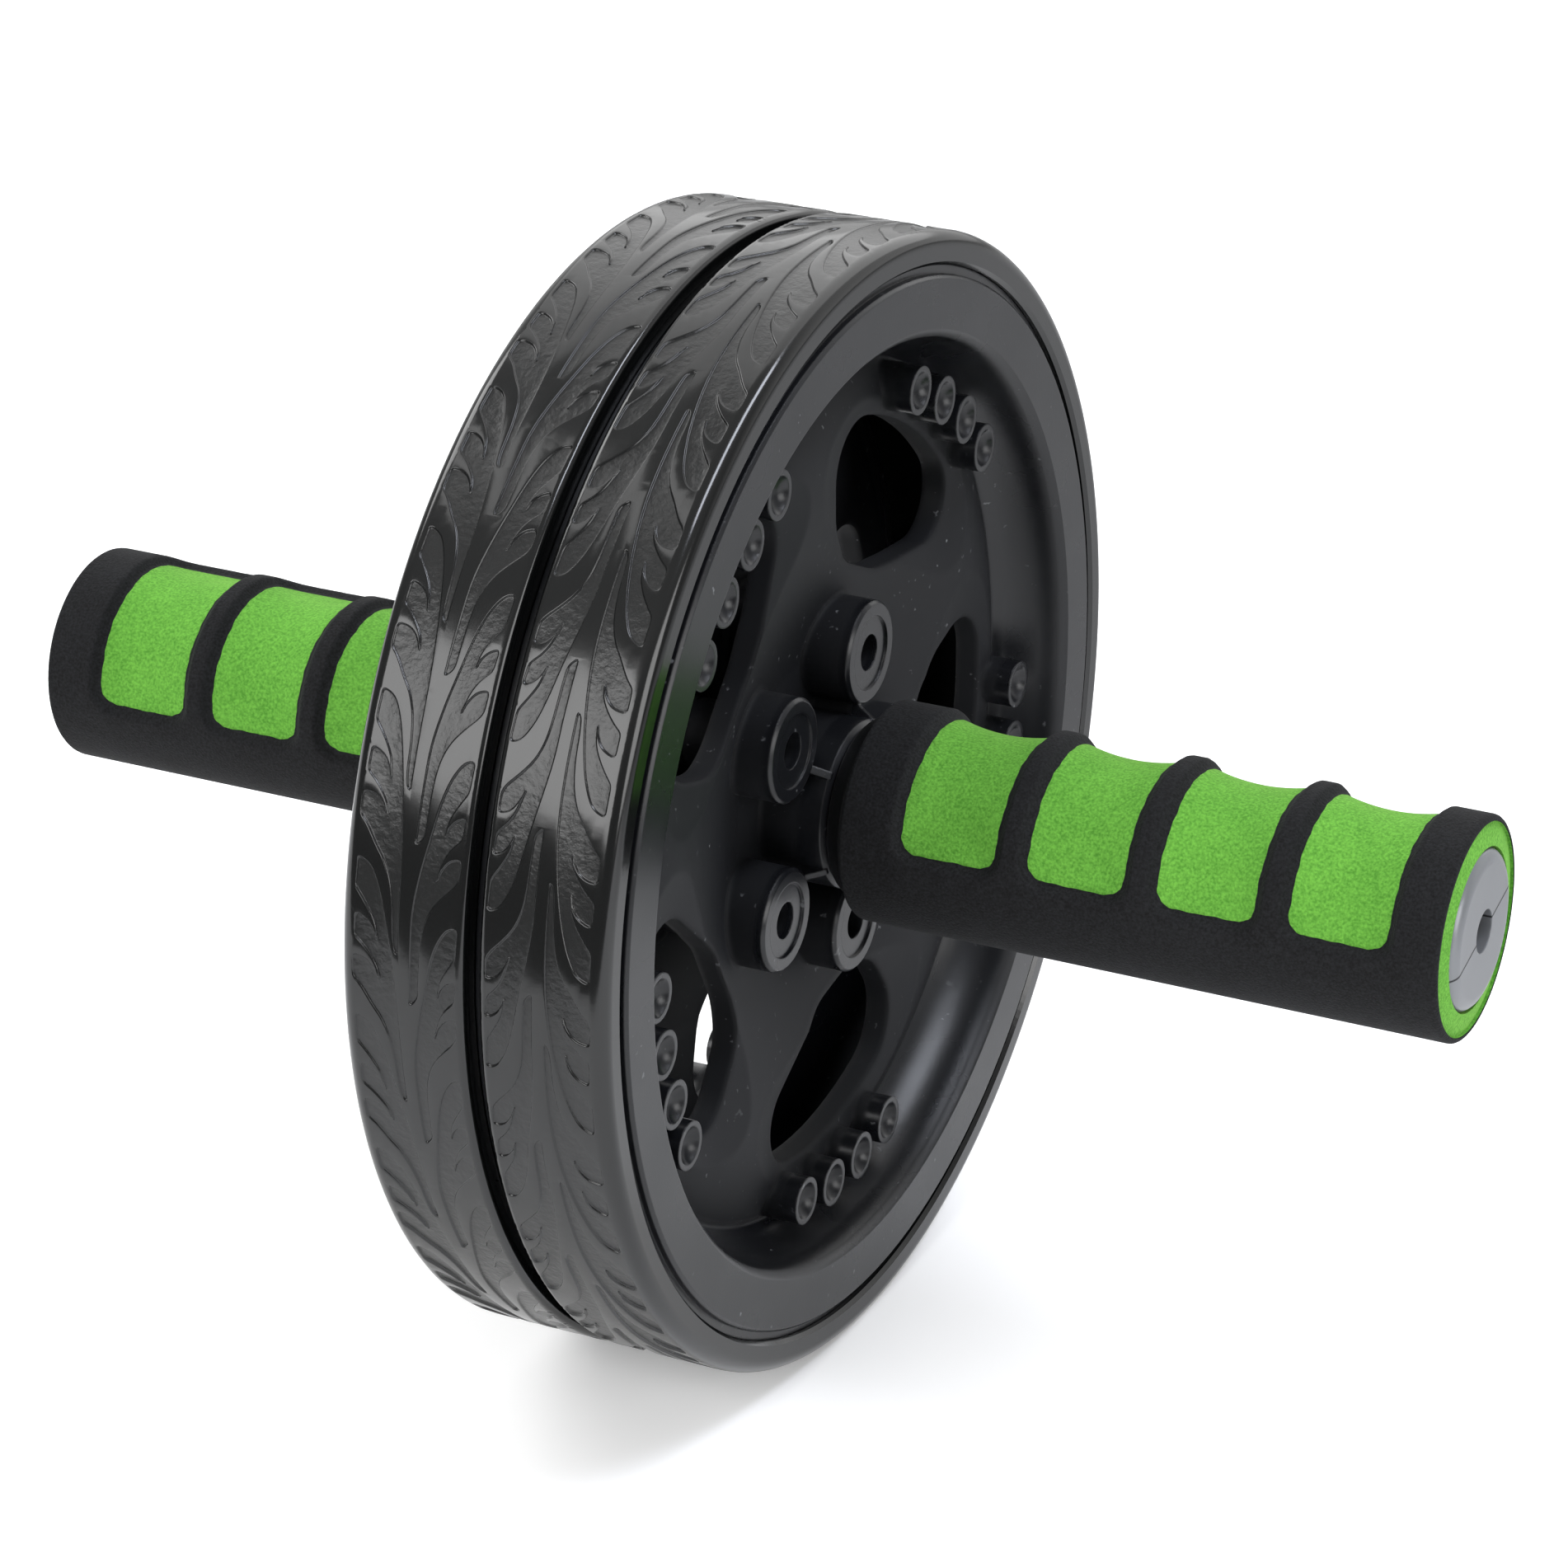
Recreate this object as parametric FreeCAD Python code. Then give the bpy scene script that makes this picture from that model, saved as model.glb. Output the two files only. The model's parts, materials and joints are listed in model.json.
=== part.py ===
import FreeCAD, Part
import math
import os

from FreeCAD import Vector

# Ab wheel roller, in millimetres. The axle lies along X, Z is up and the origin is the wheel's centre.
# Angles about the axle start at +Y and grow towards +Z.

# Driving dimensions
tyre_radius = 92.5
wheel_half_width = 22.5
handle_reach = 122.9
grip_radius = 17.9
axle_radius = 6.0

# Clearances and the overrun that every cut shares
running_clearance = 0.05
seat_clearance = 0.05
parting_clearance = 0.05
side_play = 0.4
overrun = 2.0

# Tyres, one on each half, with a gap between them
tyre_thickness = 5.5
tyre_gap_half = 1.2
tyre_inner_round = 1.3
tyre_outer_round = 2.6
tyre_side_margin = 0.1
tyre_lip = 0.6
tyre_side = wheel_half_width - tyre_side_margin

# Winged tread, sunk into the flat of each tyre; the left tyre is the right one turned about a radial line
tread_repeats = 23
tread_depth = 0.6
tread_low = tyre_gap_half + tyre_inner_round
tread_width = tyre_side - tyre_outer_round - tread_low
tread_flip_angle = 155.1
tread_pitch = math.tau * tyre_radius / tread_repeats
wing_length_share = 1.575
wing_length = tread_pitch * wing_length_share
wing_middle_share = 0.5
inner_wing_angle = 145.2
outer_wing_angle = 149.9

# Edges of a wing, as shares of its length from the tail's tip and of the tread's width
inner_wing_shares = (
    ((0, 0.451), (0.035, 0.373)),
    ((0.035, 0.373), (0.236, 0.353), (0.402, 0.254), (0.535, 0.015)),
    ((0.535, 0.015), (0.616, 0.015)),
    ((0.616, 0.015), (0.578, 0.140), (0.507, 0.218)),
    ((0.507, 0.218), (0.507, 0.240)),
    ((0.507, 0.240), (0.618, 0.160), (0.688, 0.015)),
    ((0.688, 0.015), (0.774, 0.015)),
    ((0.774, 0.015), (0.741, 0.122), (0.680, 0.174)),
    ((0.680, 0.174), (0.680, 0.196)),
    ((0.680, 0.196), (0.786, 0.130), (0.867, 0.015)),
    ((0.867, 0.015), (0.985, 0.015)),
    ((0.985, 0.015), (0.899, 0.191), (0.671, 0.318), (0.377, 0.434), (0, 0.451)),
)
outer_wing_shares = (
    ((0, 0.564), (0.023, 0.604)),
    ((0.023, 0.604), (0.186, 0.633), (0.364, 0.740), (0.520, 0.985)),
    ((0.520, 0.985), (0.613, 0.985)),
    ((0.613, 0.985), (0.590, 0.845), (0.515, 0.750)),
    ((0.515, 0.750), (0.515, 0.728)),
    ((0.515, 0.728), (0.608, 0.795), (0.686, 0.985)),
    ((0.686, 0.985), (0.781, 0.985)),
    ((0.781, 0.985), (0.753, 0.852), (0.665, 0.774)),
    ((0.665, 0.774), (0.665, 0.752)),
    ((0.665, 0.752), (0.786, 0.822), (0.874, 0.985)),
    ((0.874, 0.985), (0.997, 0.985)),
    ((0.997, 0.985), (0.972, 0.867), (0.794, 0.705), (0.550, 0.607), (0.249, 0.566), (0, 0.564)),
)

# Rim of a wheel half, from the tyre's seat inwards, with a rib in the tyres' gap
rim_seat_radius = tyre_radius - tyre_thickness
rim_wall = 2.8
rim_rib_width = tyre_gap_half - seat_clearance * 2
rim_rib_height = 1.6
tyre_groove_depth = 1.5
flange_step = 1.5
flange_outer_radius = rim_seat_radius - flange_step
flange_width = 8.65
flange_inner_radius = flange_outer_radius - flange_width
flange_wall = 2.7
flange_edge = 0.5
flange_lip_edge = 1.2
dish_run = 5.85
dish_foot_radius = flange_inner_radius - dish_run
dish_wall = 2.6
dish_bulge = 0.9

# Hub nose and bush, from the axle outwards
bush_wall = 1.95
bush_radius = axle_radius + running_clearance + bush_wall
bush_flange_width = 2.0
bush_flange_radius = bush_radius + bush_flange_width
bush_flange_thickness = 1.2
bush_inner_end = 3.0
hub_wall = 3.5
hub_tube_radius = bush_radius + hub_wall
nose_wall = 5.8
nose_radius = bush_radius + nose_wall
nose_set_back = 2.5
nose_end_height = wheel_half_width - nose_set_back
nose_edge = 0.8

# Spider of a wheel half: crest of the spokes, from the hub to the foot of the dish.
# Heights are shares of a half's width, and radii are shares of the dish's foot.
arm_count = 5
spider_root_run = 8.2
spider_root_radius = nose_radius + spider_root_run
spider_root_height_share = 0.378
spider_neck_height_share = 0.484
spider_crest_height_share = 0.631
spider_foot_height_share = 0.476
spider_back_height_share = 0.373
spider_neck_share = 0.479
spider_crest_share = 0.704
spider_back_share = 0.606
spider_root_height = wheel_half_width * spider_root_height_share
spider_foot_height = wheel_half_width * spider_foot_height_share
spider_back_height = wheel_half_width * spider_back_height_share
spider_root_wall = 3.0

# Windows between the spokes, as shares of the dish's foot, each with a sunken surround
window_outer_share = 0.870
window_corner_shares = (0.106, 0.125)
window_corner_angles = (43.0, 74.0)
window_toe_share = 0.699
window_toe_round_share = 0.170
window_toe_angles = (60.0, 69.0)
window_edge_height_share = 0.556
window_outer_radius = dish_foot_radius * window_outer_share
window_toe_radius = dish_foot_radius * window_toe_share
window_toe_round = dish_foot_radius * window_toe_round_share
window_edge_height = wheel_half_width * window_edge_height_share
surround_width = 9.0
surround_rise = 2.1

# Small hollow posts, in one group over each window
posts_per_group = 4
post_circle_share = 0.938
post_circle_radius = dish_foot_radius * post_circle_share
post_first_angle = 40.4
post_step_angle = 9.05
post_radius = 4.0
post_set_back = 4.5
post_top_height = wheel_half_width - post_set_back
post_recess_edge = 0.9
post_recess_depth = 1.8

# Screw bosses and the gussets that tie them to the hub nose
boss_radius = 8.5
boss_gap = 1.8
boss_circle_radius = nose_radius + boss_gap + boss_radius
boss_first_angle = 66.5
boss_edge = 0.5
boss_set_back = 5.5
boss_top_height = wheel_half_width - boss_set_back
boss_ring_edge = 2.4
boss_ring_depth = 0.4
boss_seat_share = 0.267
boss_seat_height = wheel_half_width * boss_seat_share
boss_tube_wall = 2.6
gusset_thickness = 1.3
gusset_rise = 2.6

# Screws that clamp the halves
screw_shank_radius = 1.5
screw_head_rim = 1.3
screw_head_radius = screw_shank_radius + screw_head_rim
screw_head_height = 2.2
screw_head_gap = 0.2
screw_reach = 5.0
screw_drive_radius = 1.3
screw_drive_depth = 1.2
boss_hole_radius = screw_head_radius + screw_head_gap
boss_tube_radius = boss_hole_radius + boss_tube_wall

# Thrust washer and flared collar on each side
washer_thickness = 1.0
washer_rim = 0.8
washer_radius = bush_flange_radius + washer_rim
collar_cup_gap = 1.0
collar_cup_radius = washer_radius + collar_cup_gap
collar_step = 0.4
collar_small_radius = nose_radius + collar_step
collar_set_in = 1.7
collar_large_radius = grip_radius - collar_set_in
collar_length = 3.65
collar_edge = 0.5

# Foam grips: green sleeve under a black skin with open finger grooves
grip_start = nose_end_height + side_play + collar_length + seat_clearance
foam_thickness = 4.9
skin_thickness = 1.0
skin_edge = 0.9
ring_set_back = 0.3
groove_count = 4
groove_inner_band = 10.3
groove_outer_band = 7.85
groove_ridge = 5.55
groove_run = handle_reach - grip_start - groove_inner_band - groove_outer_band
groove_width = (groove_run - groove_ridge * (groove_count - 1)) / groove_count
groove_depth = 2.6
groove_corner = 3.0
right_groove_angles = (32.0, 175.0)
left_groove_angles = (-4.0, 122.0)

# Handle cores, split lengthwise along the seam; the walls round the hollows are shares of the core's wall
core_radius = grip_radius - foam_thickness
core_bore_radius = axle_radius + running_clearance
core_end_proud = 1.9
core_end_edge = 2.4
core_hole_radius = 3.5
core_outer_wall_share = 0.345
core_inner_wall_share = 0.315
core_pocket_count = 4
core_web = 3.0
core_seam_angle = 16.0
core_seam_gap = 0.1

# Axle and the cross pins that hold the cores to it
axle_set_back = 10.9
axle_half_length = handle_reach - axle_set_back
pin_radius = 1.5
pin_set_in = 1.5
pin_length = (core_radius - pin_set_in) * 2
pin_inset = 5.0

origin = Vector(0, 0, 0)
axle_axis = Vector(1, 0, 0)
upright = Vector(0, 0, 1)
full_turn = 360.0
half_turn = 180.0
arm_step = full_turn / arm_count


def point(x, radius, angle=0.0):
    turn = math.radians(angle)
    return Vector(x, radius * math.cos(turn), radius * math.sin(turn))


def spoke_line(angle):
    return point(0, 1, angle)


def turned(section, span=full_turn, start=0.0):
    """Turns a closed section of (x, radius) points about the axle."""
    corners = [point(x, radius) for x, radius in section]
    face = Part.Face(Part.makePolygon(corners + corners[:1]))
    return turned_face(face, span, start)


def turned_face(face, span=full_turn, start=0.0):
    solid = face.revolve(origin, axle_axis, span)
    solid.rotate(origin, axle_axis, start)
    return solid


def rod(radius, start, end, circle_radius=0.0, angle=0.0):
    return Part.makeCylinder(radius, end - start, point(start, circle_radius, angle), axle_axis)


def cone(start_radius, end_radius, start, end, circle_radius, angle):
    place = point(start, circle_radius, angle)
    return Part.makeCone(start_radius, end_radius, end - start, place, axle_axis)


def flipped(shape, line):
    copy = shape.copy()
    copy.rotate(origin, line, half_turn)
    return copy


def arm_angles(first):
    return [first + arm_step * number for number in range(arm_count)]


def post_angles():
    return [angle + post_step_angle * number
            for angle in arm_angles(post_first_angle) for number in range(posts_per_group)]


def circle_tangents(first, second):
    """End points of the outer tangent line of two circles (centre, radius), walked clockwise from +X."""
    (start, start_radius), (end, end_radius) = first, second
    along = end - start
    lean = math.acos((start_radius - end_radius) / along.Length)
    heading = math.atan2(along.z, along.y) + lean
    side = point(0, 1, math.degrees(heading))
    return start + side * start_radius, end + side * end_radius


def window_circles(x, grow):
    corners = []
    for angle, share in zip(window_corner_angles, window_corner_shares):
        corner_round = dish_foot_radius * share
        corners.append((point(x, window_outer_radius - corner_round, angle), corner_round + grow))
    toes = [(point(x, window_toe_radius, angle), window_toe_round + grow) for angle in window_toe_angles]
    return [corners[0]] + toes + [corners[1]]


def arc_on(circle, start, end):
    """Arc on a circle from start to end, bulging away from the chord."""
    centre, radius = circle
    outward = ((start + end) / 2 - centre).normalize()
    if (end - start).cross(outward).x < 0:
        outward = outward * -1
    return Part.Arc(start, centre + outward * radius, end).toShape()


def window_wire(x, grow=0.0):
    """Closed window outline: outer arc on the wheel's circle, two corners and two toe circles."""
    outer_radius = window_outer_radius + grow
    circles = window_circles(x, grow)
    lines = [circle_tangents(a, b) for a, b in zip(circles[:-1], circles[1:])]
    outer_start = point(x, outer_radius, window_corner_angles[0])
    outer_end = point(x, outer_radius, window_corner_angles[1])
    outer_middle = point(x, outer_radius, sum(window_corner_angles) / len(window_corner_angles))
    starts = [outer_start] + [line[1] for line in lines]
    ends = [line[0] for line in lines] + [outer_end]
    edges = []
    for number, circle in enumerate(circles):
        edges.append(arc_on(circle, starts[number], ends[number]))
        if number < len(lines):
            edges.append(Part.makeLine(*lines[number]))
    edges.append(Part.Arc(outer_end, outer_middle, outer_start).toShape())
    return Part.Wire(edges)


def window_cut():
    """Straight opening through the spider with the sloped surround over it."""
    back = window_wire(-overrun)
    opening = Part.Face(back).extrude(axle_axis * (wheel_half_width + overrun))
    low = window_wire(window_edge_height)
    high = window_wire(window_edge_height + surround_rise, surround_width)
    surround = Part.makeLoft([low, high], True, True)
    return [opening, surround]


def spider_front():
    """Smooth crest line of the spokes from the hub nose to the foot of the dish."""
    line = Part.BSplineCurve()
    neck = point(wheel_half_width * spider_neck_height_share, dish_foot_radius * spider_neck_share)
    crest = point(wheel_half_width * spider_crest_height_share, dish_foot_radius * spider_crest_share)
    line.interpolate([point(spider_root_height, spider_root_radius), neck, crest,
                      point(spider_foot_height, dish_foot_radius)])
    return line.toShape()


def wheel_section():
    """Half section of the moulded body: hub, spider, dish, flange and rim."""
    bore = bush_radius + seat_clearance
    dish_top = point(wheel_half_width - flange_lip_edge, flange_inner_radius - flange_lip_edge)
    dish_foot = point(spider_foot_height, dish_foot_radius)
    dish_middle = (dish_top + dish_foot) / 2 + Vector(-dish_bulge, dish_bulge, 0)
    lip_top = point(wheel_half_width, flange_inner_radius)
    front = [point(nose_end_height, bore),
             point(nose_end_height, nose_radius - nose_edge),
             point(nose_end_height - nose_edge, nose_radius),
             point(spider_root_height, nose_radius),
             point(spider_root_height, spider_root_radius)]
    rim = [lip_top,
           point(wheel_half_width, flange_outer_radius - flange_edge),
           point(wheel_half_width - flange_edge, flange_outer_radius),
           point(wheel_half_width - tyre_groove_depth, flange_outer_radius),
           point(wheel_half_width - tyre_groove_depth, rim_seat_radius),
           point(rim_rib_width, rim_seat_radius),
           point(rim_rib_width, rim_seat_radius + rim_rib_height),
           point(parting_clearance, rim_seat_radius + rim_rib_height),
           point(parting_clearance, rim_seat_radius - rim_wall),
           point(wheel_half_width - flange_wall, rim_seat_radius - rim_wall),
           point(wheel_half_width - flange_wall, flange_inner_radius + dish_wall),
           point(spider_back_height, dish_foot_radius + dish_wall),
           point(spider_back_height, dish_foot_radius * spider_back_share),
           point(spider_root_height - spider_root_wall, spider_root_radius),
           point(spider_root_height - spider_root_wall, hub_tube_radius),
           point(parting_clearance, hub_tube_radius),
           point(parting_clearance, bore),
           front[0]]
    edges = [Part.makeLine(a, b) for a, b in zip(front[:-1], front[1:])]
    edges.append(spider_front())
    edges.append(Part.Arc(dish_foot, dish_middle, dish_top).toShape())
    edges.append(Part.makeLine(dish_top, lip_top))
    edges += [Part.makeLine(a, b) for a, b in zip(rim[:-1], rim[1:])]
    return Part.Face(Part.Wire(edges))


def post(angle):
    return rod(post_radius, spider_back_height, post_top_height, post_circle_radius, angle)


def post_recess(angle):
    """Round dish in the top of a post."""
    mouth = post_radius - post_recess_edge
    ball_radius = (mouth * mouth + post_recess_depth * post_recess_depth) / (post_recess_depth * 2)
    centre = point(post_top_height - post_recess_depth + ball_radius, post_circle_radius, angle)
    return Part.makeSphere(ball_radius, centre, axle_axis)


def boss(angle):
    stem = rod(boss_radius, spider_root_height - spider_root_wall, boss_top_height - boss_edge,
               boss_circle_radius, angle)
    crown = cone(boss_radius, boss_radius - boss_edge, boss_top_height - boss_edge, boss_top_height,
                 boss_circle_radius, angle)
    tube = rod(boss_tube_radius, parting_clearance, spider_root_height, boss_circle_radius, angle)
    return stem.fuse(crown).fuse(tube)


def boss_hole(angle):
    ring = rod(boss_radius - boss_ring_edge, boss_top_height - boss_ring_depth, boss_top_height + overrun,
               boss_circle_radius, angle)
    well = rod(boss_hole_radius, boss_seat_height, boss_top_height + overrun, boss_circle_radius, angle)
    shank = rod(screw_shank_radius + seat_clearance, -overrun, boss_top_height, boss_circle_radius, angle)
    return ring.fuse(well).fuse(shank)


def gusset(angle):
    """Thin web from a boss to the hub nose, its top edge rising to the nose."""
    foot = (nose_radius + bush_radius) / 2
    reach = boss_circle_radius - boss_radius
    section = [point(spider_root_height, foot),
               point(boss_top_height + gusset_rise, foot),
               point(boss_top_height + gusset_rise, nose_radius),
               point(boss_top_height - boss_ring_depth, reach),
               point(boss_top_height - boss_ring_depth, reach + boss_edge),
               point(spider_root_height, reach + boss_edge)]
    web = Part.Face(Part.makePolygon(section + section[:1])).extrude(upright * gusset_thickness)
    web.translate(upright * (-gusset_thickness / 2))
    web.rotate(origin, axle_axis, angle)
    return web


def wheel_half():
    body = turned_face(wheel_section())
    cuts = []
    for number in range(arm_count):
        for tool in window_cut():
            tool.rotate(origin, axle_axis, arm_step * number)
            cuts.append(tool)
    body = body.cut(cuts)
    bosses = [boss(angle) for angle in arm_angles(boss_first_angle)]
    gussets = [gusset(angle) for angle in arm_angles(boss_first_angle)]
    body = body.fuse([post(angle) for angle in post_angles()] + bosses + gussets)
    holes = [post_recess(angle) for angle in post_angles()]
    holes += [boss_hole(angle) for angle in arm_angles(boss_first_angle)]
    holes.append(rod(bush_radius + seat_clearance, -overrun, nose_end_height + overrun))
    return body.cut(holes).Solids[0]


def tyre():
    """Tread band with rounded shoulders; its lip covers the rim's outer groove."""
    inner = rim_seat_radius + seat_clearance
    band = turned([(tyre_gap_half, inner), (tyre_gap_half, tyre_radius),
                   (tyre_side, tyre_radius), (tyre_side, inner)])
    inner_edges = [edge for edge in band.Edges if is_ring(edge, tyre_radius) and not on_outer_side(edge)]
    band = band.makeFillet(tyre_inner_round, inner_edges)
    outer_edges = [edge for edge in band.Edges if is_ring(edge, tyre_radius) and on_outer_side(edge)]
    band = band.makeFillet(tyre_outer_round, outer_edges)
    lip_edges = [edge for edge in band.Edges if is_ring(edge, inner) and on_outer_side(edge)]
    band = band.makeChamfer(tyre_lip, lip_edges)
    wings = tread_wings(inner_wing_shares, inner_wing_angle)
    wings += tread_wings(outer_wing_shares, outer_wing_angle)
    return band.cut(wings).Solids[0]


def tread_point(along_share, across_share):
    """Point of a wing over the tread, on a plane that touches the tyre at the wing's middle."""
    turn = (along_share - wing_middle_share) * wing_length / tyre_radius
    across = tread_low + across_share * tread_width
    return Vector(across, tyre_radius + overrun, math.sin(turn) * tyre_radius)


def tread_edge(run):
    points = [tread_point(*shares) for shares in run]
    if len(points) == 2:
        return Part.makeLine(*points)
    curve = Part.BSplineCurve()
    curve.interpolate(points)
    return curve.toShape()


def tread_wings(wing_shares, first_angle):
    """Recesses of one row of wings: the outline pressed towards the axle, down to a round floor."""
    outline = Part.Face(Part.Wire([tread_edge(run) for run in wing_shares]))
    press = outline.extrude(Vector(0, -overrun - tyre_thickness, 0))
    wing = press.cut(rod(tyre_radius - tread_depth, 0, wheel_half_width))
    middle = math.degrees(wing_length / tyre_radius) * wing_middle_share
    wings = []
    for number in range(tread_repeats):
        copy = wing.copy()
        copy.rotate(origin, axle_axis, first_angle + middle + full_turn / tread_repeats * number)
        wings.append(copy)
    return wings


def on_outer_side(edge):
    return edge.CenterOfMass.x > wheel_half_width / 2


def is_ring(edge, radius):
    if not edge.Closed or not hasattr(edge.Curve, "Radius"):
        return False
    return abs(edge.Curve.Radius - radius) < seat_clearance / 2


def wheel_screw(angle):
    """Clamping screw: head seated in the right boss, shank in the left one, with a round drive recess."""
    seat = boss_seat_height
    head = rod(screw_head_radius, seat, seat + screw_head_height, boss_circle_radius, angle)
    shank = rod(screw_shank_radius, -screw_reach, seat, boss_circle_radius, angle)
    top = seat + screw_head_height
    drive = rod(screw_drive_radius, top - screw_drive_depth, top + overrun, boss_circle_radius, angle)
    return head.fuse(shank).cut(drive).Solids[0]


def hub_bush():
    bore = axle_radius + running_clearance
    flange_end = nose_end_height + bush_flange_thickness
    return turned([(bush_inner_end, bore), (bush_inner_end, bush_radius),
                   (nose_end_height, bush_radius), (nose_end_height, bush_flange_radius),
                   (flange_end, bush_flange_radius), (flange_end, bore)])


def washer_start():
    return nose_end_height + bush_flange_thickness + side_play / 2


def thrust_washer():
    start = washer_start()
    bore = axle_radius + running_clearance
    return turned([(start, bore), (start, washer_radius), (start + washer_thickness, washer_radius),
                   (start + washer_thickness, bore)])


def collar():
    """Flared cup that covers the washer and backs the grip."""
    front = nose_end_height + side_play
    back = washer_start() + washer_thickness
    end = grip_start - seat_clearance
    bore = axle_radius + seat_clearance
    return turned([(front, collar_cup_radius), (front, collar_small_radius - collar_edge),
                   (front + collar_edge, collar_small_radius), (end - collar_edge, collar_large_radius),
                   (end, collar_large_radius), (end, bore), (back, bore), (back, collar_cup_radius)])


def core_body():
    """Whole handle core with its domed end and the hole through it."""
    end = handle_reach + core_end_proud
    body = turned([(grip_start, 0), (grip_start, core_radius), (end, core_radius), (end, 0)])
    rim = [edge for edge in body.Edges if is_ring(edge, core_radius) and edge.CenterOfMass.x > handle_reach]
    body = body.makeFillet(core_end_edge, rim)
    bore = rod(core_bore_radius, grip_start - overrun, axle_half_length + running_clearance)
    hole = rod(core_hole_radius, axle_half_length, end + overrun)
    return body.cut([bore, hole] + core_pockets())


def core_pockets():
    """Ring-shaped hollows between the webs, which open at the seam."""
    wall = core_radius - core_bore_radius
    inner = core_bore_radius + wall * core_inner_wall_share
    outer = core_radius - wall * core_outer_wall_share
    first = grip_start + pin_inset + core_web + pin_radius
    pitch = (axle_half_length - first) / core_pocket_count
    pockets = []
    for number in range(core_pocket_count):
        start = first + pitch * number
        end = start + pitch - core_web
        pockets.append(turned([(start, inner), (start, outer), (end, outer), (end, inner)]))
    return pockets


def pin_place():
    return grip_start + pin_inset


def cross_rod(radius, length):
    direction = spoke_line(core_seam_angle + half_turn / 2)
    return Part.makeCylinder(radius, length, Vector(pin_place(), 0, 0) - direction * (length / 2), direction)


def core_half(upper):
    """One half of the core, cut at the seam plane and bored for the cross pin."""
    span = handle_reach + core_end_proud + overrun
    side = core_radius + overrun
    keep = Part.makeBox(span, side * 2, side, Vector(0, -side, core_seam_gap / 2))
    keep.rotate(origin, axle_axis, core_seam_angle if upper else core_seam_angle + half_turn)
    hole = cross_rod(pin_radius + seat_clearance, pin_length + seat_clearance * 2)
    return core_body().common(keep).cut(hole).Solids[0]


def core_pin():
    return cross_rod(pin_radius, pin_length)


def axle():
    """Plain steel rod, drilled near both collars for the cross pins."""
    hole = cross_rod(pin_radius + seat_clearance, axle_radius * 2 + overrun)
    bar = rod(axle_radius, -axle_half_length, axle_half_length)
    return bar.cut([hole, flipped(hole, upright)]).Solids[0]


def right_groove_starts():
    first = grip_start + groove_inner_band
    return [first + (groove_width + groove_ridge) * number for number in range(groove_count)]


def left_groove_starts():
    """The same sleeve slid on the other way round, seen before it is turned to the left side."""
    return [grip_start + handle_reach - groove_width - start for start in right_groove_starts()]


def grip_foam(starts, angles):
    """Green sleeve with one concave scallop for each finger."""
    inner = core_radius + seat_clearance
    outer = grip_radius - skin_thickness - seat_clearance
    body = turned([(grip_start, inner), (grip_start, outer), (handle_reach, outer), (handle_reach, inner)])
    floor = grip_radius - groove_depth
    scallops = []
    for start in starts:
        end = start + groove_width
        middle = (start + end) / 2
        arc = Part.Arc(point(start, outer), point(middle, floor), point(end, outer)).toShape()
        sides = Part.makePolygon([point(end, outer), point(end, grip_radius + overrun),
                                  point(start, grip_radius + overrun), point(start, outer)])
        face = Part.Face(Part.Wire([arc] + sides.Edges))
        scallops.append(turned_face(face, angles[1] - angles[0], angles[0]))
    return body.cut(scallops).Solids[0]


def grip_skin(starts, angles):
    """Black sleeve with rounded ends and a round-cornered window over each groove."""
    inner = grip_radius - skin_thickness
    end = handle_reach - ring_set_back
    body = turned([(grip_start, inner), (grip_start, grip_radius), (end, grip_radius), (end, inner)])
    body = body.makeFillet(skin_edge, [edge for edge in body.Edges if is_ring(edge, grip_radius)])
    windows = [skin_window(start, inner, angles) for start in starts]
    return body.cut(windows).Solids[0]


def skin_window(start, inner, angles):
    low = inner - skin_thickness
    high = grip_radius + overrun
    end = start + groove_width
    tool = turned([(start, low), (start, high), (end, high), (end, low)], angles[1] - angles[0], angles[0])
    corners = [edge for edge in tool.Edges if edge.Curve.TypeId == "Part::GeomLine"
               and abs(edge.BoundBox.XLength) < seat_clearance]
    return tool.makeFillet(groove_corner, corners)


def save(name, shape):
    shape.exportStep(os.path.join("parts", name + ".step"))


def main():
    os.makedirs("parts", exist_ok=True)
    half = wheel_half()
    band = tyre()
    flip_line = spoke_line(boss_first_angle)
    save("right_wheel_half", half)
    save("left_wheel_half", flipped(half, flip_line))
    save("right_tyre", band)
    save("left_tyre", flipped(band, spoke_line(tread_flip_angle)))
    save("wheel_screws", Part.makeCompound([wheel_screw(angle) for angle in arm_angles(boss_first_angle)]))
    save("axle", axle())
    pairs = {"hub_bush": hub_bush(), "thrust_washer": thrust_washer(), "collar": collar(),
             "core_upper": core_half(True), "core_lower": core_half(False), "core_pin": core_pin()}
    for name, shape in pairs.items():
        save("right_" + name, shape)
        save("left_" + name, flipped(shape, upright))
    right_grooves = right_groove_starts(), right_groove_angles
    left_grooves = left_groove_starts(), left_groove_angles
    save("right_grip_foam", grip_foam(*right_grooves))
    save("right_grip_skin", grip_skin(*right_grooves))
    save("left_grip_foam", flipped(grip_foam(*left_grooves), upright))
    save("left_grip_skin", flipped(grip_skin(*left_grooves), upright))


main()
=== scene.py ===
import json
import math

import bpy
import numpy as np
from mathutils import Matrix, Vector
from mathutils.geometry import delaunay_2d_cdt


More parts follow.
